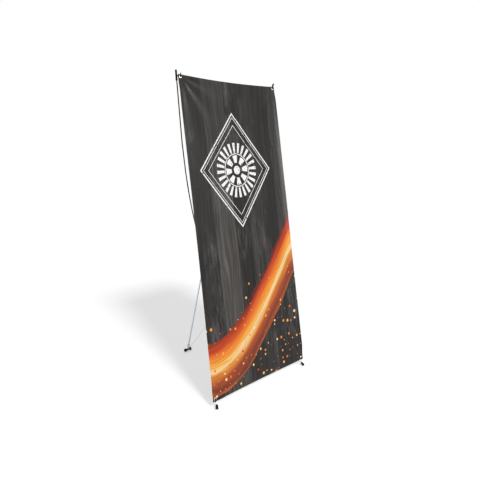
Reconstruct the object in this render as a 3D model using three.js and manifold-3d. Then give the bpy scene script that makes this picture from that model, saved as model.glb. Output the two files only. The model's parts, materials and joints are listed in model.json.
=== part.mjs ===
// A folding banner stand: a plastic hub carries two sprung rods, two front legs and one rear leg.
// A printed sheet is stretched in front of them between four hooks.
// Lengths are in millimetres. X runs along the width, the front faces -Y and Z is up.
import * as THREE from 'three';
import { mergeVertices } from 'three/addons/utils/BufferGeometryUtils.js';
import Module from 'manifold-3d';

const wasm = await Module();
wasm.setup();

const radians = THREE.MathUtils.degToRad;

// Banner sheet
const bannerWidth = 800;
const bannerHeight = 1800;
const bannerThickness = 0.5;
const bannerLean = radians(9);
const bannerBottomHeight = 40;
const topEdgeSag = 11;
const sideEdgeBow = 5;
const grommetSideInset = 17;
const grommetEndInset = 13.5;

// Where the hub and the feet stand, measured from the middle of the sheet's lower edge
const hubBack = 518;
const hubHeight = 701;
const hubLean = radians(16.3);
const frontFootInset = 14;
const frontFootForward = 16.5;
const rearFootBack = 702;

// Grommets and their washers
const grommetHoleRadius = 5;
const grommetWall = 0.6;
const grommetFlangeRadius = 9;
const grommetFlangeHeight = 1.1;
const washerRadius = 8.5;
const washerThickness = 0.8;

// Hub and hinges
const pinRadius = 2;
const pinOffset = 16;
const pinHeadRadius = 3.5;
const pinHeadHeight = 1.4;
const tongueThickness = 7;
const tongueRadius = 6.5;
const earThickness = 4;
const earRadius = 9;
const columnRadius = 10;
const columnOverhang = 3;
const columnEdgeRound = 2.5;
const waistRadius = 7.6;

// Sockets that hold the tubes and rods
const socketDepth = 34;
const socketBase = 18;
const socketWall = 2.6;
const socketLipHeight = 4;
const socketLipWidth = 0.9;
const neckLength = 14;
const shoulderStart = 9;

// Aluminium legs
const tubeRadius = 5;
const tubeWall = 1;
const legCollarRadius = 6.9;
const legCollarLength = 17;
const legCollarRound = 1.2;
const footCollarSpacing = 8;
const rearCollarRadius = 9.4;
const rearCollarLength = 18;
const rearCollarHeight = 34;

// Front feet
const footLength = 23;
const footTopRadius = 7.2;
const footBaseRadius = 8.4;
const footFlangeHeight = 4;
const footSole = 6;
const footSolePress = 1;

// Rear cross foot
const crossBarRadius = 6;
const crossBallRadius = 7.5;
const crossCupStart = 10.5;
const crossCupEnd = 25;
const crossCupRadius = 11.5;
const crossCupNeckRadius = 7.3;
const crossCupHollowRadius = 8.6;
const crossCupHollowDepth = 9;
const crossCupHollowFloorRadius = 6.8;
const crossCupWeb = 1.5;
const crossCupPress = 0.5;
const tubeSeatInBall = 5;

// Sprung upper rods
const rodRadius = 3.4;
const rodTipOutset = 5;
const rodTipBehindBanner = 6;
const rodTipAboveBanner = 18;
const rodBendInward = 143;
const rodBendForward = 76;
const capRadius = 5.4;
const capLength = 58;
const capEnd = 6;
const capRimLength = 5;
const capRimWidth = 0.7;

// Hooks
const hookRadius = 3.2;
const hookBend = 4;
const topProngLength = 18;
const topHookRise = 9;
const bottomProngLength = 12;
const clipRadius = 8;
const clipLength = 16;
const clipSpacing = 4;

// Limit cord
const cordRadius = 0.8;
const cordTieFromHub = 285;

// Running and seating clearances
const gap = 0.3;
const faceGap = gap / 2;
const slotGap = 0.4;
const overrun = 6;

// Facets
const roundSides = 20;
const smallSides = 12;
const hookSides = 10;
const hookSteps = 18;
const arcSteps = 7;
const cordSides = 8;
const rodSteps = 26;
const edgeSteps = 10;

const unitY = new THREE.Vector3(0, 1, 0);
const unitZ = new THREE.Vector3(0, 0, 1);
const sides = [{ side: 'left', sign: -1 }, { side: 'right', sign: 1 }];

const material = (color, roughness, metalness) =>
  new THREE.MeshStandardMaterial({ color, roughness, metalness });
const printedVinyl = () => material(0x45403c, 0.55, 0);
const brass = () => material(0xc9a56a, 0.3, 1);
const steel = () => material(0xb8bcc0, 0.35, 1);
const aluminium = () => material(0xb9c6cd, 0.4, 0.9);
const blackPlastic = () => material(0x151516, 0.5, 0);
const blackFibreglass = () => material(0x17181a, 0.4, 0);
const blackRubber = () => material(0x101010, 0.85, 0);
const greyCord = () => material(0x9c9590, 0.8, 0);

// Solids and booleans

function solidOf(geometry) {
  const bare = geometry.clone();
  bare.deleteAttribute('normal');
  bare.deleteAttribute('uv');
  const merged = mergeVertices(bare);
  const corners = merged.index.array;
  const triangles = [];
  for (let i = 0; i < corners.length; i += 3) {
    const [a, b, c] = corners.slice(i, i + 3);
    if (a !== b && b !== c && c !== a) triangles.push(a, b, c);
  }
  return new wasm.Manifold(new wasm.Mesh({
    numProp: 3,
    vertProperties: new Float32Array(merged.attributes.position.array),
    triVerts: new Uint32Array(triangles),
  }));
}

function geometryOf(solid) {
  const mesh = solid.getMesh();
  const geometry = new THREE.BufferGeometry();
  geometry.setAttribute('position', new THREE.BufferAttribute(mesh.vertProperties, 3));
  geometry.setIndex(new THREE.BufferAttribute(mesh.triVerts, 1));
  geometry.computeVertexNormals();
  return geometry;
}

const join = (...parts) => geometryOf(parts.map(solidOf).reduce((sum, part) => sum.add(part)));

const cut = (body, ...tools) =>
  geometryOf(tools.map(solidOf).reduce((rest, tool) => rest.subtract(tool), solidOf(body)));

// A profile of [radius, height] pairs turned about Z
function revolve(profile, segments = roundSides) {
  const points = profile.map(([radius, height]) => new THREE.Vector2(radius, height));
  return new THREE.LatheGeometry(points, segments).rotateX(Math.PI / 2);
}

function cylinder(radius, from, to, segments = roundSides) {
  return revolve([[0, from], [radius, from], [radius, to], [0, to]], segments);
}

// A ring of rectangular section, closed on itself
function ring(inner, outer, from, to, segments = roundSides) {
  return revolve([[inner, from], [outer, from], [outer, to], [inner, to], [inner, from]], segments);
}

const alongX = (geometry) => geometry.rotateY(Math.PI / 2);

function roundOutline(radius, segments) {
  const outline = new THREE.Shape();
  for (let i = 0; i < segments; i += 1) {
    const angle = (i / segments) * 2 * Math.PI;
    const point = [radius * Math.cos(angle), radius * Math.sin(angle)];
    if (i === 0) outline.moveTo(...point);
    else outline.lineTo(...point);
  }
  outline.closePath();
  return outline;
}

function sweep(path, radius, steps, segments) {
  return new THREE.ExtrudeGeometry(roundOutline(radius, segments), { extrudePath: path, steps });
}

// An outline drawn in (across, along), given a thickness centred on the third direction
function plate(outline, thickness, across, along) {
  const settings = { depth: thickness, bevelEnabled: false, curveSegments: arcSteps };
  const geometry = new THREE.ExtrudeGeometry(outline, settings).translate(0, 0, -thickness / 2);
  const normal = new THREE.Vector3().crossVectors(across, along);
  return geometry.applyMatrix4(new THREE.Matrix4().makeBasis(across, along, normal));
}

function piece(group, name, geometry, finish) {
  const mesh = new THREE.Mesh(geometry, finish);
  mesh.name = name;
  group.add(mesh);
  return mesh;
}

// Carrying frames

const stand = new THREE.Group();

const bannerFrame = new THREE.Group();
bannerFrame.position.set(0, 0, bannerBottomHeight);
bannerFrame.rotation.x = -bannerLean;
stand.add(bannerFrame);

const hub = new THREE.Group();
hub.position.set(0, hubBack, hubHeight);
hub.rotation.x = -hubLean;
stand.add(hub);
stand.updateMatrixWorld(true);

const inFrame = (group, from, point) => group.worldToLocal(from.localToWorld(point.clone()));

// An arm is hinged to the hub: Z runs along it, X is its pin and Y faces away from the hub axis.
function arm(direction) {
  const upward = direction.z > 0;
  const axial = unitZ.clone().multiplyScalar(upward ? 1 : -1);
  const splay = direction.angleTo(axial);
  const radial = direction.clone().addScaledVector(axial, -direction.dot(axial)).normalize();
  const tangent = new THREE.Vector3().crossVectors(radial, axial);
  const outer = new THREE.Vector3().crossVectors(direction, tangent);
  const pinDistance = pinOffset / Math.sin(splay);
  const place = new THREE.Matrix4().makeBasis(tangent, outer, direction);
  const group = new THREE.Group();
  group.applyMatrix4(place.setPosition(direction.clone().multiplyScalar(pinDistance)));
  hub.add(group);
  return { group, radial, axial, tangent, splay, pinDistance, upward };
}

// Where each leg's sole and each rod's tip has to be

function frontSole(sign) {
  const halfSpread = bannerWidth / 2 - frontFootInset;
  const reach = new THREE.Vector2(halfSpread, hubBack + frontFootForward).length();
  const tilt = Math.atan2(reach, hubHeight);
  const height = footBaseRadius * Math.sin(tilt) - footSolePress;
  return new THREE.Vector3(sign * halfSpread, -frontFootForward, height);
}

const rearBarHeight = crossCupRadius - crossCupPress;
const rearBarCentre = new THREE.Vector3(0, rearFootBack, rearBarHeight);

function rodTip(sign) {
  return new THREE.Vector3(
    sign * (bannerWidth / 2 + rodTipOutset), rodTipBehindBanner, bannerHeight + rodTipAboveBanner);
}

const rodBend = (sign) => new THREE.Vector3(-sign * rodBendInward, -rodBendForward, 0);

function rodDirection(sign) {
  const straightTip = rodTip(sign).sub(rodBend(sign));
  return inFrame(hub, bannerFrame, straightTip).normalize();
}

const frontArms = sides.map(({ side, sign }) => {
  const sole = inFrame(hub, stand, frontSole(sign));
  const holder = arm(sole.clone().normalize());
  return { ...holder, side, sign, length: sole.length() - holder.pinDistance };
});

const rearCentre = inFrame(hub, stand, rearBarCentre);
const rearHolder = arm(rearCentre.clone().normalize());
const rearArm = { ...rearHolder, length: rearCentre.length() - rearHolder.pinDistance };

const rodArms = sides.map(({ side, sign }) => ({ ...arm(rodDirection(sign)), side, sign }));

const allArms = [...frontArms, rearArm, ...rodArms];

// Hub: a waisted column with a slotted clevis for each arm

const pinHeight = ({ splay }) => pinOffset / Math.tan(splay);

function clevisOutline(holder) {
  const height = pinHeight(holder);
  const outline = new THREE.Shape();
  outline.moveTo(0, height - earRadius);
  outline.lineTo(pinOffset, height - earRadius);
  outline.absarc(pinOffset, height, earRadius, -Math.PI / 2, Math.PI / 2, false);
  outline.lineTo(0, height + earRadius);
  outline.closePath();
  return outline;
}

// The slot leaves the tongue room from its open stop to where it lies along the hub axis.
function slotOutline(holder) {
  const { splay } = holder;
  const height = pinHeight(holder);
  const room = tongueRadius + slotGap;
  const reach = earRadius + columnRadius + overrun;
  const stopX = pinOffset + room * Math.cos(splay);
  const stopY = height - room * Math.sin(splay);
  const outline = new THREE.Shape();
  outline.moveTo(stopX + reach * Math.sin(splay), stopY + reach * Math.cos(splay));
  outline.lineTo(pinOffset - room, height + reach);
  outline.lineTo(pinOffset - room, height);
  outline.absarc(pinOffset, height, room, Math.PI, 2 * Math.PI - splay, false);
  outline.lineTo(stopX, stopY);
  outline.closePath();
  return outline;
}

function pinPlace({ radial, axial, tangent, splay }) {
  const across = new THREE.Vector3().crossVectors(tangent, unitZ);
  const place = new THREE.Matrix4().makeBasis(across.negate(), unitZ, tangent);
  const centre = radial.clone().multiplyScalar(pinOffset);
  centre.addScaledVector(axial, pinHeight({ splay }));
  return place.setPosition(centre);
}

function hubBody() {
  const clevisWidth = tongueThickness + 2 * (slotGap + earThickness);
  const lowest = -pinHeight(rearArm) - earRadius - columnOverhang;
  const highest = pinHeight(rodArms[0]) + earRadius + columnOverhang;
  const waistLow = -pinHeight(rearArm) + earRadius;
  const waistHigh = pinHeight(rodArms[0]) - earRadius;
  const column = revolve([
    [0, lowest], [columnRadius - columnEdgeRound, lowest], [columnRadius, lowest + columnEdgeRound],
    [columnRadius, waistLow], [waistRadius, waistLow + columnEdgeRound],
    [waistRadius, waistHigh - columnEdgeRound], [columnRadius, waistHigh],
    [columnRadius, highest - columnEdgeRound], [columnRadius - columnEdgeRound, highest],
    [0, highest],
  ]);
  const clevises = allArms.map((holder) =>
    plate(clevisOutline(holder), clevisWidth, holder.radial, holder.axial));
  const slots = allArms.map((holder) =>
    plate(slotOutline(holder), tongueThickness + 2 * slotGap, holder.radial, holder.axial));
  const holes = allArms.map((holder) =>
    cylinder(pinRadius + gap, -clevisWidth, clevisWidth, smallSides).applyMatrix4(pinPlace(holder)));
  return cut(join(column, ...clevises), ...slots, ...holes);
}

function hingePin() {
  const half = tongueThickness / 2 + slotGap + earThickness + gap;
  const end = half + pinHeadHeight;
  return revolve([
    [0, -end], [pinHeadRadius - pinHeadHeight / 2, -end], [pinHeadRadius, -half - pinHeadHeight / 3],
    [pinHeadRadius, -half], [pinRadius, -half], [pinRadius, half], [pinHeadRadius, half],
    [pinHeadRadius, half + pinHeadHeight / 3], [pinHeadRadius - pinHeadHeight / 2, end], [0, end],
  ], smallSides);
}

// Knuckle: a flat tongue on the pin that widens into a socket for a tube or rod

function knuckle(heldRadius) {
  const outer = heldRadius + gap + socketWall;
  const mouth = socketBase + socketDepth;
  const tongue = new THREE.Shape();
  tongue.absarc(0, 0, tongueRadius, Math.PI, 2 * Math.PI, false);
  tongue.lineTo(tongueRadius, neckLength);
  tongue.lineTo(-tongueRadius, neckLength);
  tongue.closePath();
  const socket = revolve([
    [0, shoulderStart], [tongueThickness / 2, shoulderStart], [outer, socketBase],
    [outer, mouth - socketLipHeight], [outer + socketLipWidth, mouth - socketLipHeight],
    [outer + socketLipWidth, mouth], [heldRadius + gap, mouth], [heldRadius + gap, socketBase],
    [0, socketBase],
  ]);
  const hole = alongX(cylinder(pinRadius + gap, -tongueThickness, tongueThickness, smallSides));
  return cut(join(plate(tongue, tongueThickness, unitY, unitZ), socket), hole);
}

// Sprung rod: straight in its socket, then bent as a beam that is pulled at its tip

class SprungRod extends THREE.Curve {
  constructor(start, mouth, tip, bend) {
    super();
    this.start = start;
    this.mouth = mouth;
    this.bend = bend;
    this.straight = tip.clone().sub(mouth).sub(bend);
    this.straightShare = mouth.distanceTo(start) / tip.distanceTo(start);
  }

  getPoint(t, target = new THREE.Vector3()) {
    const past = (t - this.straightShare) / (1 - this.straightShare);
    if (past <= 0) return target.lerpVectors(this.start, this.mouth, t / this.straightShare);
    const bent = (3 * past ** 2 - past ** 3) / 2;
    return target.copy(this.mouth).addScaledVector(this.straight, past)
      .addScaledVector(this.bend, bent);
  }
}

function rodLine({ group, sign }) {
  const tip = inFrame(group, bannerFrame, rodTip(sign));
  const unbent = inFrame(group, bannerFrame, rodTip(sign).sub(rodBend(sign)));
  const start = new THREE.Vector3(0, 0, socketBase + gap);
  const mouth = new THREE.Vector3(0, 0, socketBase + socketDepth);
  return new SprungRod(start, mouth, tip, tip.clone().sub(unbent));
}

// The cap's frame has its origin at the rod's tip and Z along the rod's end.
function capFrame(line) {
  const end = line.getPoint(1);
  const before = line.getPoint(1 - capLength / line.getLength());
  const turn = new THREE.Quaternion().setFromUnitVectors(unitZ, end.clone().sub(before).normalize());
  return new THREE.Matrix4().makeRotationFromQuaternion(turn).setPosition(end);
}

function capBody() {
  const bottom = capEnd - capLength;
  const rimTop = bottom + capRimLength;
  return revolve([
    [0, gap], [rodRadius + gap, gap], [rodRadius + gap, bottom], [capRadius + capRimWidth, bottom],
    [capRadius + capRimWidth, rimTop], [capRadius, rimTop + capRimWidth], [capRadius, capEnd / 2],
    [capRadius - capRimWidth, capEnd - capRimWidth], [capRadius / 2, capEnd], [0, capEnd],
  ]);
}

// A hook leaves its carrier, runs forward through the grommet and turns along the sheet's front.
function hookLine(group, root, grommet, turnSign, prong) {
  const seat = grommetHoleRadius - gap - hookRadius;
  const throughZ = grommet.z + turnSign * seat;
  const clear = bannerThickness / 2 + faceGap + grommetFlangeHeight + gap + hookRadius;
  const curlBack = bannerThickness / 2 + 2 * faceGap + washerThickness + grommetWall;
  const behind = curlBack + gap + hookRadius;
  const points = [
    new THREE.Vector3(root.x, root.y, root.z),
    new THREE.Vector3(grommet.x, behind, throughZ),
    new THREE.Vector3(grommet.x, hookBend - clear, throughZ),
    new THREE.Vector3(grommet.x, -clear, throughZ + turnSign * hookBend),
    new THREE.Vector3(grommet.x, -clear, throughZ + turnSign * prong),
  ].map((point) => inFrame(group, bannerFrame, point));
  const corner = inFrame(group, bannerFrame, new THREE.Vector3(grommet.x, -clear, throughZ));
  const line = new THREE.CurvePath();
  line.add(new THREE.LineCurve3(points[0], points[1]));
  line.add(new THREE.LineCurve3(points[1], points[2]));
  line.add(new THREE.QuadraticBezierCurve3(points[2], corner, points[3]));
  line.add(new THREE.LineCurve3(points[3], points[4]));
  return line;
}

function grommetPlace(sign, top) {
  const z = top ? bannerHeight - grommetEndInset : grommetEndInset;
  return new THREE.Vector3(sign * (bannerWidth / 2 - grommetSideInset), 0, z);
}

function topHook(holder, line) {
  const { group, sign } = holder;
  const grommet = grommetPlace(sign, true);
  const tip = inFrame(bannerFrame, group, line.getPoint(1));
  const lower = inFrame(bannerFrame, group, line.getPoint(1 - capLength / line.getLength()));
  const share = (tip.z - grommet.z - topHookRise) / (tip.z - lower.z);
  const root = tip.clone().lerp(lower, share);
  return sweep(hookLine(group, root, grommet, 1, topProngLength), hookRadius, hookSteps, hookSides);
}

function endCap(holder, line) {
  const body = capBody().applyMatrix4(capFrame(line));
  const bore = cylinder(rodRadius + gap, capEnd - capLength - overrun, gap);
  return cut(join(body, topHook(holder, line)), bore.applyMatrix4(capFrame(line)));
}

// Leg pieces, each turned about its own tube

function legTube(to) {
  return ring(tubeRadius - tubeWall, tubeRadius, socketBase + gap, to);
}

function tubeCollar(radius, middle, length, round) {
  const low = middle - length / 2;
  const high = middle + length / 2;
  const inner = tubeRadius + gap;
  return revolve([
    [inner, low], [radius - round, low], [radius, low + 2 * round], [radius, high - 2 * round],
    [radius - round, high], [inner, high], [inner, low],
  ]);
}

function floorBox(group, centre) {
  const span = 4 * footBaseRadius;
  return new THREE.BoxGeometry(span, span, span).translate(centre.x, centre.y, -span / 2)
    .applyMatrix4(group.matrixWorld.clone().invert());
}

function frontFoot(holder) {
  const { group, length, sign } = holder;
  const top = length - footLength;
  const bell = revolve([
    [0, length - footSole], [tubeRadius + gap, length - footSole], [tubeRadius + gap, top],
    [footTopRadius - gap, top], [footTopRadius, top + gap],
    [footTopRadius + gap, length - 2 * footFlangeHeight],
    [footBaseRadius, length - footFlangeHeight], [footBaseRadius, length], [0, length],
  ]);
  return cut(bell, floorBox(group, frontSole(sign)));
}

function legClip(holder) {
  const { group, length, sign } = holder;
  const collarMiddle = length - footLength - footCollarSpacing - legCollarLength / 2;
  const middle = collarMiddle - legCollarLength / 2 - clipSpacing - clipLength / 2;
  const body = tubeCollar(clipRadius, middle, clipLength, legCollarRound);
  const grommet = grommetPlace(sign, false);
  const root = inFrame(bannerFrame, group, new THREE.Vector3(0, 0, middle));
  const line = hookLine(group, root, grommet, -1, bottomProngLength);
  const hook = sweep(line, hookRadius, hookSteps, hookSides);
  const bore = cylinder(tubeRadius + gap, middle - clipLength, middle + clipLength);
  return { clip: cut(join(body, hook), bore), collarMiddle };
}

// Rear foot: a cross bar with a ball for the tube and a hollow rubber cup on each end

function crossBar(length) {
  const half = crossCupEnd - crossCupHollowDepth - crossCupWeb - gap;
  const bar = alongX(cylinder(crossBarRadius, -half, half)).translate(0, 0, length);
  const ball = new THREE.SphereGeometry(crossBallRadius, roundSides, smallSides);
  const socket = cylinder(tubeRadius + gap, -overrun * 2, -crossBallRadius + tubeSeatInBall);
  return cut(join(bar, ball.translate(0, 0, length)), socket.translate(0, 0, length));
}

function crossCup(holder, side) {
  const webStart = crossCupEnd - crossCupHollowDepth - crossCupWeb;
  const webEnd = crossCupEnd - crossCupHollowDepth;
  const edge = crossCupRadius - crossCupHollowRadius;
  const cup = revolve([
    [0, webStart], [crossBarRadius + gap, webStart], [crossBarRadius + gap, crossCupStart],
    [crossCupNeckRadius, crossCupStart], [crossCupNeckRadius + gap, crossCupStart + edge],
    [crossCupRadius, crossCupEnd - 2 * edge + crossCupPress], [crossCupRadius, crossCupEnd - gap],
    [crossCupRadius - gap, crossCupEnd], [crossCupHollowRadius, crossCupEnd],
    [crossCupHollowFloorRadius, webEnd], [0, webEnd],
  ]);
  const end = rearBarCentre.clone().setX(side * crossCupEnd);
  const inward = inFrame(holder.group, stand, end).x < 0;
  const turned = alongX(cup).rotateY(inward ? Math.PI : 0).translate(0, 0, holder.length);
  return cut(turned, floorBox(holder.group, end));
}

// Limit cord: looped round the cross bar beside its ball and round one front leg

function cordLoop(heldRadius, segments = roundSides) {
  return new THREE.TorusGeometry(heldRadius + gap + cordRadius, cordRadius, cordSides, segments);
}

function limitCord({ group, pinDistance }) {
  const loopX = (crossBallRadius + crossCupStart) / 2;
  const bar = rearBarCentre.clone().setX(loopX);
  const tie = inFrame(stand, group, unitZ.clone().multiplyScalar(cordTieFromHub - pinDistance));
  const hinge = inFrame(stand, group, new THREE.Vector3());
  const along = tie.clone().sub(bar).normalize();
  const legAxis = tie.clone().sub(hinge).normalize();
  const fromBar = along.clone().setX(0).setLength(crossBarRadius + gap + cordRadius);
  const toLeg = along.clone().projectOnPlane(legAxis).setLength(tubeRadius + gap + cordRadius);
  const line = new THREE.LineCurve3(bar.clone().add(fromBar), tie.clone().sub(toLeg));
  const turn = new THREE.Quaternion().setFromUnitVectors(unitZ, legAxis);
  const legLoop = cordLoop(tubeRadius).applyQuaternion(turn).translate(tie.x, tie.y, tie.z);
  const barLoop = alongX(cordLoop(crossBarRadius)).translate(bar.x, bar.y, bar.z);
  return join(sweep(line, cordRadius, 1, cordSides), barLoop, legLoop);
}

// Banner sheet and grommets, drawn in the banner's own plane

function bannerOutline() {
  const half = bannerWidth / 2;
  const middle = bannerHeight / 2;
  const outline = new THREE.Shape();
  outline.moveTo(-half, 0);
  outline.lineTo(half, 0);
  outline.quadraticCurveTo(half - 2 * sideEdgeBow, middle, half, bannerHeight);
  outline.quadraticCurveTo(0, bannerHeight - 2 * topEdgeSag, -half, bannerHeight);
  outline.quadraticCurveTo(-half + 2 * sideEdgeBow, middle, -half, 0);
  return outline;
}

const barrelRadius = grommetHoleRadius + grommetWall;

function bannerSheet() {
  const settings = { depth: bannerThickness, bevelEnabled: false, curveSegments: edgeSteps };
  const sheet = new THREE.ExtrudeGeometry(bannerOutline(), settings)
    .translate(0, 0, -bannerThickness / 2).rotateX(Math.PI / 2);
  const holes = corners.map(({ place }) =>
    cylinder(barrelRadius + gap, -overrun, overrun).rotateX(Math.PI / 2)
      .translate(place.x, 0, place.z));
  return cut(sheet, ...holes);
}

const corners = sides.flatMap(({ side, sign }) => [
  { name: `top_${side}`, place: grommetPlace(sign, true) },
  { name: `bottom_${side}`, place: grommetPlace(sign, false) },
]);

function grommet() {
  const front = bannerThickness / 2 + faceGap;
  const back = -bannerThickness / 2 - faceGap - washerThickness - faceGap;
  const curl = back - grommetWall;
  const crown = front + grommetFlangeHeight;
  return revolve([
    [grommetHoleRadius, curl], [barrelRadius + grommetWall, curl], [barrelRadius + grommetWall, back],
    [barrelRadius, back], [barrelRadius, front], [grommetFlangeRadius, front],
    [grommetFlangeRadius - grommetWall, front + grommetWall],
    [barrelRadius + grommetWall, crown], [barrelRadius, crown],
    [grommetHoleRadius, front + grommetWall], [grommetHoleRadius, curl],
  ]).rotateX(Math.PI / 2);
}

function washer() {
  const front = -bannerThickness / 2 - faceGap;
  return ring(barrelRadius + faceGap, washerRadius, front - washerThickness, front)
    .rotateX(Math.PI / 2);
}

// Put the stand together

piece(hub, 'hub_body', hubBody(), blackPlastic());

function addPin(holder, name) {
  const pin = hingePin().applyMatrix4(pinPlace(holder));
  piece(hub, name, pin, steel());
}

for (const holder of frontArms) {
  const { group, side, length } = holder;
  const { clip, collarMiddle } = legClip(holder);
  addPin(holder, `front_pin_${side}`);
  piece(group, `front_knuckle_${side}`, knuckle(tubeRadius), blackPlastic());
  piece(group, `front_leg_${side}`, legTube(length - footSole - gap), aluminium());
  piece(group, `leg_hook_${side}`, clip, blackPlastic());
  piece(group, `leg_collar_${side}`,
    tubeCollar(legCollarRadius, collarMiddle, legCollarLength, legCollarRound), aluminium());
  piece(group, `front_foot_${side}`, frontFoot(holder), blackRubber());
}

addPin(rearArm, 'rear_pin');
piece(rearArm.group, 'rear_knuckle', knuckle(tubeRadius), blackPlastic());
piece(rearArm.group, 'rear_leg',
  legTube(rearArm.length - crossBallRadius + tubeSeatInBall - gap), aluminium());
piece(rearArm.group, 'rear_collar',
  tubeCollar(rearCollarRadius, rearArm.length - rearCollarHeight, rearCollarLength,
    2 * legCollarRound), aluminium());
piece(rearArm.group, 'rear_cross_bar', crossBar(rearArm.length), blackPlastic());
for (const { side, sign } of sides) {
  piece(rearArm.group, `rear_cup_${side}`, crossCup(rearArm, sign), blackRubber());
}

for (const holder of rodArms) {
  const { group, side } = holder;
  const line = rodLine(holder);
  addPin(holder, `rod_pin_${side}`);
  piece(group, `rod_knuckle_${side}`, knuckle(rodRadius), blackPlastic());
  piece(group, `upper_rod_${side}`, sweep(line, rodRadius, rodSteps, smallSides), blackFibreglass());
  piece(group, `end_cap_${side}`, endCap(holder, line), blackPlastic());
}

piece(bannerFrame, 'banner', bannerSheet(), printedVinyl());
for (const { name, place } of corners) {
  piece(bannerFrame, `grommet_${name}`, grommet(), brass()).position.copy(place);
  piece(bannerFrame, `washer_${name}`, washer(), brass()).position.copy(place);
}

const rightArm = frontArms.find(({ side }) => side === 'right');
piece(stand, 'limit_cord', limitCord(rightArm), greyCord());

// The origin is on the floor, under the middle of the stand.
const model = new THREE.Group();
model.add(stand);
model.updateMatrixWorld(true);
const box = new THREE.Box3().setFromObject(stand, true);
stand.position.y = -(box.min.y + box.max.y) / 2;

export default model;
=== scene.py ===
import json
import math

import bmesh
import bpy
from mathutils import Matrix, Vector, noise

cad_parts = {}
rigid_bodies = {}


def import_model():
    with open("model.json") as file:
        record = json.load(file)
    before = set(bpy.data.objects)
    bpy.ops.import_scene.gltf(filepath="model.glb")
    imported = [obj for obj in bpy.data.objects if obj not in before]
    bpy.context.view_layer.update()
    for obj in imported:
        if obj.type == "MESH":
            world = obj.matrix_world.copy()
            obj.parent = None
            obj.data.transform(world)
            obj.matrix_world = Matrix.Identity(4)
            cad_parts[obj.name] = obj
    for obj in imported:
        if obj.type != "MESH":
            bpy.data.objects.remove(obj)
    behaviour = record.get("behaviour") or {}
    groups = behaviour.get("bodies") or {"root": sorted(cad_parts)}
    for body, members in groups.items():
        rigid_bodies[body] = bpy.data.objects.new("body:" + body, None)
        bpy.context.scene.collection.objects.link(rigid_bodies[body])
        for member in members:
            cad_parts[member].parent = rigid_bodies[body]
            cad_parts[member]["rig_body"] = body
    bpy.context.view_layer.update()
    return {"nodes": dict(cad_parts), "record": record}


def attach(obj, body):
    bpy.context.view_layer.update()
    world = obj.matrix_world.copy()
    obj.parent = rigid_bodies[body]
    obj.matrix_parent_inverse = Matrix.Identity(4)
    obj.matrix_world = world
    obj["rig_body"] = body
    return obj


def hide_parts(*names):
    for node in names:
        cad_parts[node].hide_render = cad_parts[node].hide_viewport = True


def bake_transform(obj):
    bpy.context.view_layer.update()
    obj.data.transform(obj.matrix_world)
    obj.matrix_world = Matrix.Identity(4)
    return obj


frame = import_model()

MM = 0.001

# The banner sheet, in its own plane: x across, z up, behind is the way its back faces
WIDTH = 0.8
HEIGHT = 1.8
THICKNESS = 0.5 * MM
LEAN = math.radians(9)
TOP_SAG = 11 * MM
SIDE_BOW = 5 * MM
GROMMET_SIDE_INSET = 17 * MM
GROMMET_END_INSET = 13.5 * MM
SHEET_HOLE = 5.9 * MM
LEFT_CURL = 4 * MM
RIGHT_CURL = 16 * MM
RIGHT_CURL_WIDTH = 60 * MM
RIGHT_CURL_PULL = 3 * MM
BELLY = 4 * MM
HEM_CURL = 6 * MM
HEM_CURL_REACH = 28 * MM
LEFT_CURL_SHARE = 0.10
SHEET_ORIGIN = Vector((0, -0.34505, 0.04))
ACROSS = Vector((1, 0, 0))
UP_SHEET = Vector((0, math.sin(LEAN), math.cos(LEAN)))
BEHIND = Vector((0, math.cos(LEAN), -math.sin(LEAN)))
SHEET_COLUMNS = 130
SHEET_ROWS = 230
SIDE_CROWDING = 0.6
HOLE_SIDES = 40
HOLE_TOOL_DEPTH = 20 * MM

# Folds that fan out from each grommet and calm down next to it, and slow waves over the sheet
FOLD_HEIGHTS = (2.6 * MM, 4.6 * MM, 2.4 * MM, 3.0 * MM)
FOLDS_ROUND = 11
FOLD_REACH = 0.30
FOLD_START = 80 * MM
CALM_RADIUS = 18 * MM
CALM_WIDTH = 60 * MM

# Each wave's height, its scales along x and z, and its layer of noise
WAVES = ((1.4 * MM, 3.1, 2.3, 0.7), (0.6 * MM, 11.0, 6.0, 4.2))

# Printed picture, in metres and in shares of the sheet's width
PLANK_EDGES = (0.19, 0.40, 0.55, 0.72, 0.88)
PLANK_TONES = (0.55, 1.9, 0.75, 1.35, 0.55, 1.2)
BOARD_LENGTH = 0.92
BOARD_STAGGER = 7.3
SEAM_WIDTH = 1.4 * MM
SWEEP_START = 0.34
SWEEP_RISE = 0.95
SWEEP_WIDTH = 0.33
SCRIM_WAVES = 2600
WEAVE_SCALE = 260.0

# Emblem: a line is its distance from the middle and half its width; rays and petals have their
# number, turn and gap first
EMBLEM_MIDDLE = (-0.02, 1.27)
EMBLEM_TALL = 0.86
EMBLEM_FRAMES = ((0.292, 0.0055), (0.272, 0.0022), (0.232, 0.0022))
EMBLEM_RING = (0.098, 0.0028)
EMBLEM_HEART = 0.026
EMBLEM_RAYS = (24.0, 0.0, 0.1, 0.135, 0.030)
EMBLEM_PETALS = (8.0, 0.8, -0.25, 0.067, 0.022)

# Spatter: how its drops thin out upwards and to the left
DROP_SCALE = 26.0
DROP_SIZE = 0.24
DROP_TOP = 1.0
DROP_FALL = -1.45
DROP_RISE_RIGHT = 0.55

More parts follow.
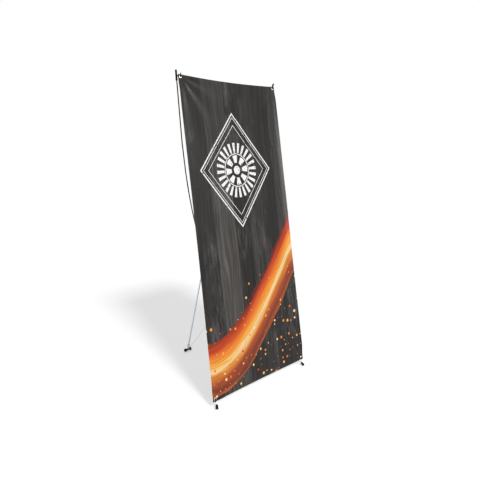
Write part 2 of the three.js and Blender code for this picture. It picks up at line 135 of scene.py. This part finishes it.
# Colours, in linear light
WOOD_DARK = (0.009, 0.008, 0.007, 1)
WOOD_MIDDLE = (0.025, 0.023, 0.021, 1)
WOOD_PALE = (0.060, 0.054, 0.050, 1)
WOOD_FIBRE = (0.052, 0.046, 0.042, 1)
CHALK = (0.155, 0.142, 0.136, 1)
SEAM_BLACK = (0.003, 0.003, 0.003, 1)
PRINT_WHITE = (0.93, 0.92, 0.90, 1)
SWEEP_COLORS = (
    (0.00, (0.16, 0.012, 0.004, 1)), (0.14, (0.55, 0.050, 0.008, 1)),
    (0.30, (0.86, 0.20, 0.018, 1)), (0.44, (0.92, 0.44, 0.060, 1)),
    (0.52, (0.93, 0.74, 0.40, 1)), (0.60, (0.80, 0.30, 0.035, 1)),
    (0.74, (0.42, 0.070, 0.018, 1)), (0.90, (0.17, 0.034, 0.014, 1)),
    (1.00, (0.50, 0.100, 0.020, 1)),
)
DROP_COLORS = (
    (0.0, (0.62, 0.07, 0.01, 1)), (0.6, (0.92, 0.34, 0.03, 1)), (1.0, (0.97, 0.74, 0.36, 1)),
)
VINYL_BACK = (0.74, 0.74, 0.73, 1)
VINYL_EDGE = (0.80, 0.79, 0.77, 1)
PLASTIC_BLACK = (0.008, 0.008, 0.009, 1)
HOOK_BLACK = (0.004, 0.004, 0.0045, 1)
RUBBER_BLACK = (0.005, 0.005, 0.005, 1)
BRASS_DARK = (0.74, 0.50, 0.34, 1)
BRASS_PALE = (0.93, 0.76, 0.52, 1)
TUBE_DARK = (0.46, 0.54, 0.60, 1)
TUBE_PALE = (0.60, 0.68, 0.73, 1)
TUBE_WORN = (0.72, 0.76, 0.78, 1)
ROD_DARK = (0.003, 0.003, 0.003, 1)
ROD_PALE = (0.013, 0.013, 0.014, 1)
CORD_DARK = (0.42, 0.38, 0.36, 1)
CORD_PALE = (0.74, 0.71, 0.68, 1)

# Limit cord, from its loop on the cross bar to its loop on the right front leg
CORD_DIAMETER = 1.6 * MM
CORD_SIDES = 10
BAR_LOOP = Vector((0.009, 0.35695, 0.011))
BAR_LOOP_RADIUS = 7.1 * MM
LEG_LOOP = Vector((0.11472, 0.01409, 0.49406))
LEG_LOOP_RADIUS = 6.1 * MM
CORD_SPLIT_SHARE = 0.7
LEG_ALONG = Vector((0.402555, -0.557423, -0.726105))
CORD_POINTS = 16
STRAND_TURN = 12.566
STRAND_SLANT = 900.0
LOOP_SIDES = 48
HITCH_SIDES = 24
HITCH_RADIUS = 0.9 * CORD_DIAMETER
HITCH_OUTSET = 0.6 * CORD_DIAMETER

# Hardware: how much each slot's edges are rounded, and the angles that count as edges
EDGE_ROUNDS = {"black_plastic": 0.4 * MM, "hook_plastic": 0.9 * MM, "pin_steel": 0.15 * MM,
               "satin_aluminium": 0.15 * MM, "foot_rubber": 0.3 * MM}
MERGE_DISTANCE = 0.01 * MM
FLAT_DEGREES = 1
EDGE_DEGREES = 40
HARDWARE_SMOOTH = 38
SHEET_SMOOTH = 50
CORD_SMOOTH = 60

# Camera, fitted to the sheet's four corners
CAMERA_PLACE = (-2.1114, -2.2241, 1.4239)
CAMERA_PITCH = -6.41
CAMERA_HEADING = -45.504
CAMERA_ROLL = 0.261
CAMERA_LENS = 36.889
CAMERA_SHIFT = (0.0001, -0.0787)

# Light: a soft sun from the front left, a soft box in front, a strip that only glints, in the
# sheet's curled edge, and an even room; the camera sees the floor a little paler
KEY_ENERGY = 1.3
KEY_SOFTNESS = 10
KEY_DIRECTION = Vector((0.68, 1.9, -1.82))
BOX_ENERGY = 20
BOX_SIZE = (0.8, 1.6)
BOX_PLACE = Vector((-0.37, -3.03, 1.88))
BOX_AIM = Vector((0, -0.2, 0.95))
STRIP_ENERGY = 50
STRIP_SIZE = (0.7, 1.6)
STRIP_PLACE = Vector((0.9, -3.0, 1.95))
STRIP_AIM = Vector((0.39, -0.12, 1.45))
ROOM_LIGHT = 0.43
FLOOR_SIZE = 60
FLOOR_TONE = 0.955
FLOOR_LIFT = 0.33


def sheet_point(x, z, behind=0.0):
    return SHEET_ORIGIN + ACROSS * x + UP_SHEET * z + BEHIND * behind


# Small helpers

def deselect():
    if bpy.context.object and bpy.context.object.mode != "OBJECT":
        bpy.ops.object.mode_set(mode="OBJECT")
    bpy.ops.object.select_all(action="DESELECT")


def pick(obj):
    deselect()
    obj.select_set(True)
    bpy.context.view_layer.objects.active = obj


def newest(name):
    obj = bpy.context.object
    obj.name = name
    obj.data.name = name
    return obj


def settle(obj):
    """Puts the object's place into its mesh."""
    obj.data.transform(obj.matrix_world)
    obj.matrix_world = Matrix.Identity(4)


def apply_modifier(obj, kind, **settings):
    pick(obj)
    modifier = obj.modifiers.new(kind.title(), kind)
    for key, value in settings.items():
        setattr(modifier, key, value)
    bpy.ops.object.modifier_apply(modifier=modifier.name)


def smooth(obj, degrees=HARDWARE_SMOOTH):
    pick(obj)
    bpy.ops.object.shade_smooth_by_angle(angle=math.radians(degrees))
    return obj


# Materials

class Paint:
    """A node material: each method adds one node and gives back its output."""

    def __init__(self, name):
        self.material = bpy.data.materials.new(name)
        self.material.use_nodes = True
        self.tree = self.material.node_tree
        self.shader = self.tree.nodes["Principled BSDF"]

    @classmethod
    def on(cls, tree):
        """Works on a tree that exists, such as the world's."""
        paint = cls.__new__(cls)
        paint.tree = tree
        return paint

    def add(self, kind, inputs=None, **settings):
        node = self.tree.nodes.new("ShaderNode" + kind)
        for key, value in settings.items():
            setattr(node, key, value)
        for key, value in (inputs or {}).items():
            self.feed(node.inputs[key], value)
        return node

    def feed(self, socket, value):
        if isinstance(value, bpy.types.NodeSocket):
            self.tree.links.new(value, socket)
        else:
            socket.default_value = value

    def set(self, **values):
        for key, value in values.items():
            self.feed(self.shader.inputs[key.replace("_", " ")], value)

    def math(self, operation, *values):
        node = self.add("Math", operation=operation)
        for socket, value in zip(node.inputs, values):
            self.feed(socket, value)
        return node.outputs[0]

    def mix(self, share, first, second, blend="MIX"):
        node = self.add("Mix", data_type="RGBA", blend_type=blend)
        self.feed(node.inputs[0], share)
        self.feed(node.inputs[6], first)
        self.feed(node.inputs[7], second)
        return node.outputs[2]

    def ramp(self, value, *stops):
        node = self.add("ValToRGB")
        elements = node.color_ramp.elements
        while len(elements) < len(stops):
            elements.new(1.0)
        for element, (place, color) in zip(elements, stops):
            element.position = place
            element.color = color
        self.feed(node.inputs[0], value)
        return node.outputs[0]

    def steps(self, value, *stops):
        """A ramp that jumps from stop to stop."""
        color = self.ramp(value, *stops)
        color.node.color_ramp.interpolation = "CONSTANT"
        return color

    def place(self):
        return self.add("TexCoord").outputs["Object"]

    def uv(self):
        return self.add("TexCoord").outputs["UV"]

    def stretch(self, vector, *scale):
        node = self.add("Mapping")
        node.inputs["Scale"].default_value = scale
        self.feed(node.inputs["Vector"], vector)
        return node.outputs[0]

    def noise(self, vector, scale, detail=3.0, roughness=0.5):
        inputs = {"Vector": vector, "Scale": scale, "Detail": detail, "Roughness": roughness}
        return self.add("TexNoise", inputs).outputs["Fac"]

    def bump(self, height, strength, distance):
        inputs = {"Height": height, "Strength": strength, "Distance": distance}
        self.set(Normal=self.add("Bump", inputs).outputs[0])


def grey(value):
    return (value, value, value, 1)


def moulded(name, color, roughness, gloss, grain=0.0002):
    """Moulded plastic or rubber: fine grain, a little uneven shine and faint dust."""
    paint = Paint(name)
    spots = paint.noise(paint.place(), 900.0, 2.0)
    patches = paint.noise(paint.place(), 35.0, 4.0)
    dusty = [c * 1.9 + 0.005 for c in color[:3]] + [1.0]
    paint.set(
        Base_Color=paint.mix(paint.ramp(patches, (0.45, grey(0)), (0.8, grey(1))), color, dusty),
        Roughness=paint.math("MULTIPLY_ADD", patches, 0.22, roughness - 0.11),
        Specular_IOR_Level=gloss,
    )
    paint.bump(spots, 0.35, grain)
    return paint.material


def anodised():
    """Satin tube: a cool tint, fine draw lines along each tube and small handling marks."""
    paint = Paint("satin_aluminium_look")
    place = paint.place()
    lines = paint.noise(paint.stretch(place, 900.0, 900.0, 14.0), 1.0, 3.0, 0.6)
    marks = paint.noise(place, 60.0, 5.0, 0.65)
    tone = paint.mix(lines, TUBE_DARK, TUBE_PALE)
    worn = paint.ramp(marks, (0.56, grey(0)), (0.72, grey(1)))
    paint.set(
        Base_Color=paint.mix(worn, tone, TUBE_WORN),
        Metallic=0.85,
        Roughness=paint.math("MULTIPLY_ADD", lines, 0.16, 0.30),
    )
    paint.bump(lines, 0.12, 0.00008)
    return paint.material


def metal(name, low, high, roughness):
    paint = Paint(name)
    patches = paint.noise(paint.place(), 180.0, 4.0, 0.6)
    paint.set(
        Base_Color=paint.mix(patches, low, high),
        Metallic=1.0,
        Roughness=paint.math("MULTIPLY_ADD", patches, 0.2, roughness - 0.1),
    )
    paint.bump(patches, 0.1, 0.0001)
    return paint.material


def fibreglass():
    """Pultruded rod: fibres run along it under a thin resin skin."""
    paint = Paint("rod_fibreglass_look")
    fibres = paint.noise(paint.stretch(paint.place(), 700.0, 700.0, 30.0), 1.0, 4.0, 0.6)
    paint.set(
        Base_Color=paint.mix(fibres, ROD_DARK, ROD_PALE),
        Roughness=paint.math("MULTIPLY_ADD", fibres, 0.2, 0.38),
        Specular_IOR_Level=0.14,
    )
    paint.bump(fibres, 0.2, 0.0001)
    return paint.material


def string():
    """Two-strand twisted string, drawn on the cord's own UV."""
    paint = Paint("limit_cord_look")
    place = paint.add("SeparateXYZ", {"Vector": paint.uv()})
    turn = paint.math("MULTIPLY", place.outputs[0], STRAND_TURN)
    slant = paint.math("MULTIPLY", place.outputs[1], STRAND_SLANT)
    strands = paint.math("MULTIPLY_ADD", paint.math("SINE", paint.math("ADD", turn, slant)),
                         0.5, 0.5)
    fuzz = paint.noise(paint.place(), 1500.0)
    tone = paint.mix(strands, CORD_DARK, CORD_PALE)
    paint.set(Base_Color=paint.mix(paint.math("MULTIPLY", fuzz, 0.4), tone, grey(0.85)),
              Roughness=0.85)
    paint.bump(strands, 0.6, 0.0003)
    return paint.material


# The printed picture, drawn on the sheet's own UV in metres

def planks(paint, x, y):
    """Dark boards of mixed widths, cut to length, with grain, chalky wear, seams and butt joints."""
    m = paint.math
    across = m("MULTIPLY_ADD", x, 1 / WIDTH, 0.5)
    starts = (0.0, *PLANK_EDGES)
    column = paint.steps(across, *[(place, grey(0.1 + 0.13 * index))
                                   for index, place in enumerate(starts)])
    shade = paint.steps(across, *[(place, grey(tone)) for place, tone in zip(starts, PLANK_TONES)])
    length = m("MULTIPLY_ADD", y, 1 / BOARD_LENGTH, m("MULTIPLY", column, BOARD_STAGGER))
    board = paint.add("CombineXYZ", {"X": m("MULTIPLY", column, 41.0), "Y": m("FLOOR", length)})
    own = paint.add("TexWhiteNoise", {"Vector": board.outputs[0]}, noise_dimensions="2D")
    hue = paint.add("SeparateColor", {"Color": own.outputs["Color"]})
    tone = paint.mix(1.0, shade, paint.ramp(hue.outputs[0], (0.0, grey(0.6)), (1.0, grey(1.4))),
                     "MULTIPLY")

    shifted = paint.add("CombineXYZ", {
        "X": x, "Y": m("MULTIPLY_ADD", hue.outputs[1], 7.0, y), "Z": m("MULTIPLY", column, 9.0),
    }).outputs[0]
    bend = paint.noise(paint.stretch(shifted, 7.0, 1.8, 1.0), 1.0, 2.0)
    ringed = paint.add("CombineXYZ", {
        "X": m("MULTIPLY_ADD", bend, 7.0, m("MULTIPLY", x, 70.0)),
        "Y": m("MULTIPLY", y, 1.7),
        "Z": m("MULTIPLY", column, 9.0),
    }).outputs[0]
    grain = paint.noise(ringed, 1.0, 7.0, 0.62)
    fine = paint.noise(paint.stretch(shifted, 420.0, 11.0, 1.0), 1.0, 4.0, 0.7)
    wood = paint.ramp(grain, (0.30, WOOD_DARK), (0.50, WOOD_MIDDLE), (0.72, WOOD_PALE))
    wood = paint.mix(m("MULTIPLY", fine, 0.5), wood, WOOD_FIBRE, "OVERLAY")
    wood = paint.mix(1.0, wood, tone, "MULTIPLY")

    # Chalky wear, in patches that stop at the seams and gather in streaks
    patch = paint.noise(paint.stretch(shifted, 5.5, 2.4, 1.0), 1.0, 3.0)
    streak = paint.noise(paint.stretch(shifted, 46.0, 9.0, 1.0), 1.0, 7.0, 0.74)
    worn = m("MULTIPLY", paint.ramp(patch, (0.50, grey(0)), (0.64, grey(1))),
             paint.ramp(streak, (0.44, grey(0)), (0.70, grey(0.62))))
    wood = paint.mix(worn, wood, CHALK)

    seam = 1.0
    for place in PLANK_EDGES:
        seam = m("MINIMUM", m("ABSOLUTE", m("SUBTRACT", across, place)), seam)
    end = m("ABSOLUTE", m("SUBTRACT", m("FRACT", length), 0.5))
    gap = m("MAXIMUM", m("LESS_THAN", seam, SEAM_WIDTH / WIDTH),
            m("GREATER_THAN", end, 0.5 - SEAM_WIDTH / BOARD_LENGTH))
    return paint.mix(m("MULTIPLY", gap, 0.9), wood, SEAM_BLACK)


def brushed_sweep(paint, x, y, color):
    """Warm paint laid on in one broad brush stroke, from the lower left to the right edge."""
    m = paint.math
    rise = m("MULTIPLY", m("POWER", m("ADD", x, WIDTH / 2), 2.0), SWEEP_RISE)
    sway = m("MULTIPLY", m("SINE", m("MULTIPLY_ADD", x, 6.5, 0.6)), 0.03)
    top = m("ADD", m("ADD", rise, sway), SWEEP_START)
    depth = m("DIVIDE", m("SUBTRACT", top, y), m("MULTIPLY_ADD", x, 0.10, SWEEP_WIDTH))
    along = paint.add("CombineXYZ", {"X": m("MULTIPLY", x, 3.2), "Y": m("MULTIPLY", depth, 9.0)})
    strokes = paint.noise(along.outputs[0], 1.0, 6.0, 0.6)
    hairs = paint.add("CombineXYZ", {"X": m("MULTIPLY", x, 5.0), "Y": m("MULTIPLY", depth, 85.0)})
    bristles = paint.noise(hairs.outputs[0], 1.0, 4.0, 0.65)
    place = m("ADD", depth, m("MULTIPLY_ADD", strokes, 0.34, -0.17))
    place = m("ADD", place, m("MULTIPLY_ADD", bristles, 0.12, -0.06))
    warm = paint.mix(0.55, paint.ramp(place, *SWEEP_COLORS),
                     paint.ramp(bristles, (0.3, grey(0.45)), (0.62, grey(1.15))), "MULTIPLY")
    edge = m("MINIMUM", place, m("SUBTRACT", 1.0, place))
    dry = m("MULTIPLY", m("SUBTRACT", bristles, 0.34), 2.6)
    solid = m("ADD", m("MULTIPLY", edge, 7.0), dry)
    inside = m("MULTIPLY", m("GREATER_THAN", edge, 0.0), m("GREATER_THAN", solid, 0.34))
    return paint.mix(m("MULTIPLY", inside, 0.96), color, warm)


def spatter(paint, color):
    """Loose drops of the warm paint, each whole, fewer the higher they are."""
    m = paint.math
    inputs = {"Vector": paint.stretch(paint.uv(), WIDTH, HEIGHT, 1.0), "Scale": DROP_SCALE,
              "Randomness": 0.95}
    drops = paint.add("TexVoronoi", inputs, voronoi_dimensions="2D")
    own = paint.add("SeparateColor", {"Color": drops.outputs["Color"]})
    size = m("MULTIPLY", m("POWER", own.outputs[0], 2.2), DROP_SIZE)
    middle = paint.add("SeparateXYZ", {"Vector": drops.outputs["Position"]})
    limit = m("MULTIPLY_ADD", middle.outputs[0], DROP_RISE_RIGHT,
              m("MULTIPLY_ADD", middle.outputs[1], DROP_FALL,
                DROP_TOP - DROP_RISE_RIGHT * WIDTH / 2))
    shown = m("MULTIPLY", m("LESS_THAN", drops.outputs["Distance"], size),
              m("LESS_THAN", own.outputs[1], limit))
    return paint.mix(shown, color, paint.ramp(own.outputs[2], *DROP_COLORS))


def emblem(paint, x, y):
    """Where the pale emblem is printed: nested diamonds round a ring of rays and petals."""
    m = paint.math
    ex, ey = (m("SUBTRACT", value, middle) for value, middle in zip((x, y), EMBLEM_MIDDLE))
    diamond = m("ADD", m("ABSOLUTE", ex), m("MULTIPLY", m("ABSOLUTE", ey), EMBLEM_TALL))
    radius = m("SQRT", m("ADD", m("MULTIPLY", ex, ex), m("MULTIPLY", ey, ey)))
    angle = m("ARCTAN2", ey, ex)

    def line(value, middle, half):
        return m("LESS_THAN", m("ABSOLUTE", m("SUBTRACT", value, middle)), half)

    def spokes(count, turn, level, middle, half):
        wave = m("SINE", m("MULTIPLY_ADD", angle, count, turn))
        return m("MULTIPLY", m("GREATER_THAN", wave, level), line(radius, middle, half))

    marks = [line(diamond, *frame_line) for frame_line in EMBLEM_FRAMES]
    marks += [line(radius, *EMBLEM_RING), m("LESS_THAN", radius, EMBLEM_HEART)]
    marks += [spokes(*EMBLEM_RAYS), spokes(*EMBLEM_PETALS)]
    total = marks[0]
    for mark in marks[1:]:
        total = m("MAXIMUM", total, mark)
    chips = paint.noise(paint.stretch(paint.uv(), 60.0, 130.0, 1.0), 1.0, 4.0)
    return m("MULTIPLY", total, m("GREATER_THAN", chips, 0.36))


def printed_front():
    paint = Paint("printed_vinyl_look")
    m = paint.math
    split = paint.add("SeparateXYZ", {"Vector": paint.uv()})
    x = m("MULTIPLY", m("SUBTRACT", split.outputs[0], 0.5), WIDTH)
    y = m("MULTIPLY", split.outputs[1], HEIGHT)
    color = planks(paint, x, y)
    color = brushed_sweep(paint, x, y, color)
    color = spatter(paint, color)
    color = paint.mix(m("MULTIPLY", emblem(paint, x, y), 0.93), color, PRINT_WHITE)
    weave = paint.add("TexWave", {"Vector": paint.stretch(paint.uv(), WIDTH, HEIGHT, 1.0),
                                  "Scale": WEAVE_SCALE, "Distortion": 0.4}, bands_direction="DIAGONAL")
    gloss = paint.noise(paint.stretch(paint.uv(), 5.0, 9.0, 1.0), 1.0, 4.0)
    paint.set(Base_Color=color, Roughness=m("MULTIPLY_ADD", gloss, 0.12, 0.28),
              Specular_IOR_Level=0.2)
    paint.bump(weave.outputs["Fac"], 0.10, 0.0001)
    return paint.material


def plain_vinyl(name, color):
    """The unprinted vinyl: off-white, with the cloth scrim showing as a fine grid."""
    paint = Paint(name)
    split = paint.add("SeparateXYZ", {"Vector": paint.uv()})
    warp = paint.math("SINE", paint.math("MULTIPLY", split.outputs[0], WIDTH * SCRIM_WAVES))
    weft = paint.math("SINE", paint.math("MULTIPLY", split.outputs[1], HEIGHT * SCRIM_WAVES))
    grid = paint.math("MAXIMUM", warp, weft)
    patches = paint.noise(paint.stretch(paint.uv(), 4.0, 9.0, 1.0), 1.0, 4.0)
    darker = [c * 0.9 for c in color[:3]] + [1.0]
    paint.set(Base_Color=paint.mix(patches, darker, color),
              Roughness=paint.math("MULTIPLY_ADD", patches, 0.12, 0.5))
    paint.bump(grid, 0.08, 0.0001)
    return paint.material


def seen_directly(paint):
    """1 for the rays that show the white background: straight, mirrored or through glass."""
    rays = paint.add("LightPath")
    names = ("Is Camera Ray", "Is Glossy Ray", "Is Transmission Ray")
    camera, glossy, through = (rays.outputs[name] for name in names)
    return paint.math("MAXIMUM", camera, paint.math("MAXIMUM", glossy, through))


def floor_look():
    paint = Paint("floor_look")
    paint.set(Base_Color=grey(FLOOR_TONE), Roughness=0.9, Specular_IOR_Level=0.0,
              Emission_Color=grey(1),
              Emission_Strength=paint.math("MULTIPLY", seen_directly(paint), FLOOR_LIFT))
    return paint.material


# Camera, floor and light

def make_camera():
    camera = bpy.data.objects.new("camera", bpy.data.cameras.new("camera"))
    bpy.context.scene.collection.objects.link(camera)
    camera.location = CAMERA_PLACE
    turn = Matrix.Rotation(math.radians(CAMERA_HEADING), 4, "Z")
    tilt = Matrix.Rotation(math.radians(90 + CAMERA_PITCH), 4, "X")
    roll = Matrix.Rotation(math.radians(CAMERA_ROLL), 4, "Z")
    camera.rotation_euler = (turn @ tilt @ roll).to_euler()
    camera.data.lens = CAMERA_LENS
    camera.data.shift_x, camera.data.shift_y = CAMERA_SHIFT
    bpy.context.scene.camera = camera


def make_floor():
    bpy.ops.mesh.primitive_plane_add(size=FLOOR_SIZE)
    floor = newest("floor")
    floor.data.materials.append(floor_look())


def soft_box(name, energy, size, place, aim):
    box = bpy.data.objects.new(name, bpy.data.lights.new(name, "AREA"))
    bpy.context.scene.collection.objects.link(box)
    box.data.energy = energy
    box.data.shape = "RECTANGLE"
    box.data.size, box.data.size_y = size
    box.location = place
    box.rotation_euler = (aim - place).to_track_quat("-Z", "Y").to_euler()
    return box


def make_light():
    key = bpy.data.objects.new("key", bpy.data.lights.new("key", "SUN"))
    bpy.context.scene.collection.objects.link(key)
    key.data.energy = KEY_ENERGY
    key.data.angle = math.radians(KEY_SOFTNESS)
    key.rotation_euler = KEY_DIRECTION.to_track_quat("-Z", "Y").to_euler()
    soft_box("box", BOX_ENERGY, BOX_SIZE, BOX_PLACE, BOX_AIM)
    strip = soft_box("strip", STRIP_ENERGY, STRIP_SIZE, STRIP_PLACE, STRIP_AIM)
    strip.visible_diffuse = False
    world = bpy.data.worlds.new("studio")
    bpy.context.scene.world = world
    world.use_nodes = True
    sky = Paint.on(world.node_tree)
    background = world.node_tree.nodes["Background"]
    sky.feed(background.inputs["Color"], sky.mix(seen_directly(sky), grey(ROOM_LIGHT), grey(1)))
    bpy.context.scene.view_settings.view_transform = "Standard"


# Hardware: each CAD node but the sheet and the cord gets a smooth copy, its edges rounded where its
# slot has an edge round

LOOKS = {}


def look(slot):
    makers = {
        "black_plastic": lambda: moulded("black_plastic_look", PLASTIC_BLACK, 0.44, 0.3),
        "hook_plastic": lambda: moulded("hook_plastic_look", HOOK_BLACK, 0.40, 0.12),
        "foot_rubber": lambda: moulded("foot_rubber_look", RUBBER_BLACK, 0.66, 0.1, 0.0003),
        "grommet_brass": lambda: metal("grommet_brass_look", BRASS_DARK, BRASS_PALE, 0.26),
        "pin_steel": lambda: metal("pin_steel_look", grey(0.42), grey(0.62), 0.34),
        "satin_aluminium": anodised,
        "rod_fibreglass": fibreglass,
        "limit_cord": string,
        "printed_vinyl": printed_front,
    }
    if slot not in LOOKS:
        LOOKS[slot] = makers[slot]()
    return LOOKS[slot]


def finish_node(node, slot, edge):
    source = frame["nodes"][node]
    piece = source.copy()
    piece.data = source.data.copy()
    for key in list(piece.keys()):
        del piece[key]
    piece.parent = None
    piece.name = node + "_finish"
    piece.data.name = piece.name
    bpy.context.scene.collection.objects.link(piece)
    mesh = bmesh.new()
    mesh.from_mesh(piece.data)
    bmesh.ops.remove_doubles(mesh, verts=mesh.verts, dist=MERGE_DISTANCE)
    bmesh.ops.dissolve_limit(mesh, angle_limit=math.radians(FLAT_DEGREES), verts=mesh.verts,
                             edges=mesh.edges)
    mesh.to_mesh(piece.data)
    mesh.free()
    piece.data.materials.clear()
    piece.data.materials.append(look(slot))
    if edge:
        apply_modifier(piece, "BEVEL", width=edge, segments=2, limit_method="ANGLE",
                       angle_limit=math.radians(EDGE_DEGREES))
    smooth(piece)
    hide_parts(node)
    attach(piece, source["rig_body"])


def make_hardware():
    slots = {row["node"]: row["material_slot"] for row in frame["record"]["subparts"]}
    for node, slot in slots.items():
        if slot not in ("printed_vinyl", "limit_cord"):
            finish_node(node, slot, EDGE_ROUNDS.get(slot))


# The banner

GROMMETS = [(side * (WIDTH / 2 - GROMMET_SIDE_INSET), z)
            for side in (-1, 1) for z in (GROMMET_END_INSET, HEIGHT - GROMMET_END_INSET)]


def ripple(x, z):
    """How far the stretched sheet stands behind its plane at (x, z)."""
    depth = 0.0
    calm = 1.0
    for index, (gx, gz) in enumerate(GROMMETS):
        reach = math.hypot(x - gx, z - gz)
        turn = math.atan2(abs(z - gz), abs(x - gx) + 1e-9)
        fan = math.cos(turn * FOLDS_ROUND + index) * math.exp(-reach / FOLD_REACH)
        depth += FOLD_HEIGHTS[index] * (fan * reach / (reach + FOLD_START))
        calm = min(calm, max(0.0, (reach - CALM_RADIUS) / CALM_WIDTH))
    u = x / WIDTH + 0.5
    t = z / HEIGHT
    edge_left = math.exp(-(u / LEFT_CURL_SHARE) ** 2)
    edge_right = max(0.0, 1 - (1 - u) * WIDTH / RIGHT_CURL_WIDTH) ** 2
    tall = math.sin(math.pi * t)
    depth -= LEFT_CURL * edge_left * tall
    depth -= RIGHT_CURL * edge_right * tall ** 0.4
    depth += HEM_CURL * math.exp(-z / HEM_CURL_REACH) * math.sin(math.pi * u)
    depth += BELLY * tall * math.sin(math.pi * u)
    for height, along_x, along_z, layer in WAVES:
        depth += height * noise.noise(Vector((x * along_x, z * along_z, layer)))
    return depth * calm


def crowded(share):
    """Draws the sheet's columns together towards its side edges, where it curls."""
    return share - SIDE_CROWDING * math.sin(2 * math.pi * share) / (2 * math.pi)


def sheet_surface():
    """The sheet as one curved layer that faces forward, with UVs that follow the cloth."""
    deselect()
    bpy.ops.mesh.primitive_grid_add(x_subdivisions=SHEET_COLUMNS, y_subdivisions=SHEET_ROWS,
                                    size=1)
    sheet = newest("printed_sheet")
    for corner in sheet.data.uv_layers.active.data:
        corner.uv.x = crowded(corner.uv.x)
    for vertex in sheet.data.vertices:
        s, t = crowded(vertex.co.x + 0.5), vertex.co.y + 0.5
        x = (2 * s - 1) * (WIDTH / 2 - 4 * SIDE_BOW * t * (1 - t))
        x -= RIGHT_CURL_PULL * s * 4 * t * (1 - t)
        z = t * (HEIGHT - TOP_SAG * (1 - (2 * s - 1) ** 2))
        vertex.co = sheet_point(x, z, ripple(x, z))
    settle(sheet)
    pick(sheet)
    bpy.ops.object.mode_set(mode="EDIT")
    bpy.ops.mesh.select_all(action="SELECT")
    bpy.ops.mesh.normals_make_consistent(inside=False)
    bpy.ops.object.mode_set(mode="OBJECT")
    middle = sheet.data.polygons[len(sheet.data.polygons) // 2]
    if middle.normal.dot(BEHIND) > 0:
        sheet.data.flip_normals()
    return sheet


def punch_holes(sheet):
    for x, z in GROMMETS:
        bpy.ops.mesh.primitive_cylinder_add(vertices=HOLE_SIDES, radius=SHEET_HOLE,
                                            depth=HOLE_TOOL_DEPTH)
        tool = bpy.context.object
        tool.rotation_euler = (math.radians(90) - LEAN, 0, 0)
        tool.location = sheet_point(x, z)
        bpy.context.view_layer.update()
        apply_modifier(sheet, "BOOLEAN", operation="DIFFERENCE", solver="EXACT", object=tool)
        bpy.data.objects.remove(tool)


def make_sheet():
    sheet = sheet_surface()
    sheet.data.materials.append(look("printed_vinyl"))
    sheet.data.materials.append(plain_vinyl("vinyl_back_look", VINYL_BACK))
    sheet.data.materials.append(plain_vinyl("vinyl_edge_look", VINYL_EDGE))
    apply_modifier(sheet, "SOLIDIFY", thickness=THICKNESS, offset=0.0, material_offset=1,
                   material_offset_rim=2)
    punch_holes(sheet)
    smooth(sheet, SHEET_SMOOTH)
    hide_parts("banner")
    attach(sheet, "banner_sheet")


# The limit cord: two runs that meet behind the sheet, with a loop round the cross bar on the rear arm
# and one round the right front leg

def cord_run(name, start, end):
    path = [start.lerp(end, step / (CORD_POINTS - 1)) for step in range(CORD_POINTS)]
    line = bpy.data.curves.new(name, "CURVE")
    line.dimensions = "3D"
    line.bevel_depth = CORD_DIAMETER / 2
    line.bevel_resolution = 3
    line.use_fill_caps = True
    spline = line.splines.new("POLY")
    spline.points.add(CORD_POINTS - 1)
    for point, place in zip(spline.points, path):
        point.co = (*place, 1)
    run = bpy.data.objects.new(name, line)
    bpy.context.scene.collection.objects.link(run)
    pick(run)
    bpy.ops.object.convert(target="MESH")
    run = newest(name)
    run.data.materials.append(look("limit_cord"))
    return smooth(run, CORD_SMOOTH), path


def cord_loop(name, centre, axis, radius, leaving, body):
    """The ring round the bar or leg, with the small hitch where the run leaves it."""
    deselect()
    bpy.ops.mesh.primitive_torus_add(major_radius=radius, minor_radius=CORD_DIAMETER / 2,
                                     major_segments=LOOP_SIDES, minor_segments=CORD_SIDES)
    ring = newest(name)
    ring.rotation_euler = axis.to_track_quat("Z", "Y").to_euler()
    ring.location = centre
    bpy.context.view_layer.update()
    settle(ring)
    bpy.ops.mesh.primitive_torus_add(major_radius=HITCH_RADIUS, minor_radius=CORD_DIAMETER / 2,
                                     major_segments=HITCH_SIDES, minor_segments=CORD_SIDES)
    hitch = newest(name + "_hitch")
    hitch.rotation_euler = leaving.to_track_quat("Z", "Y").to_euler()
    hitch.location = centre + leaving.normalized() * (radius + HITCH_OUTSET)
    bpy.context.view_layer.update()
    settle(hitch)
    deselect()
    hitch.select_set(True)
    ring.select_set(True)
    bpy.context.view_layer.objects.active = ring
    bpy.ops.object.join()
    ring.data.materials.append(look("limit_cord"))
    smooth(ring, CORD_SMOOTH)
    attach(ring, body)
    return ring


def make_cord():
    along = (LEG_LOOP - BAR_LOOP).normalized()
    from_bar = Vector((0, along.y, along.z)).normalized()
    from_leg = (along.dot(LEG_ALONG) * LEG_ALONG - along).normalized()
    start = BAR_LOOP + from_bar * BAR_LOOP_RADIUS
    end = LEG_LOOP + from_leg * LEG_LOOP_RADIUS
    middle = start.lerp(end, CORD_SPLIT_SHARE)
    lower, lower_path = cord_run("limit_cord_lower", start, middle)
    upper, upper_path = cord_run("limit_cord_upper", middle, end)
    bar_loop = cord_loop("cord_loop_bar", BAR_LOOP, ACROSS, BAR_LOOP_RADIUS, from_bar, "rear_arm")
    leg_loop = cord_loop("cord_loop_leg", LEG_LOOP, LEG_ALONG, LEG_LOOP_RADIUS, from_leg,
                         "front_arm_right")
    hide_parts("limit_cord")
    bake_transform(lower)
    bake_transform(upper)


make_camera()
make_cord()
make_floor()
make_light()
make_hardware()
make_sheet()
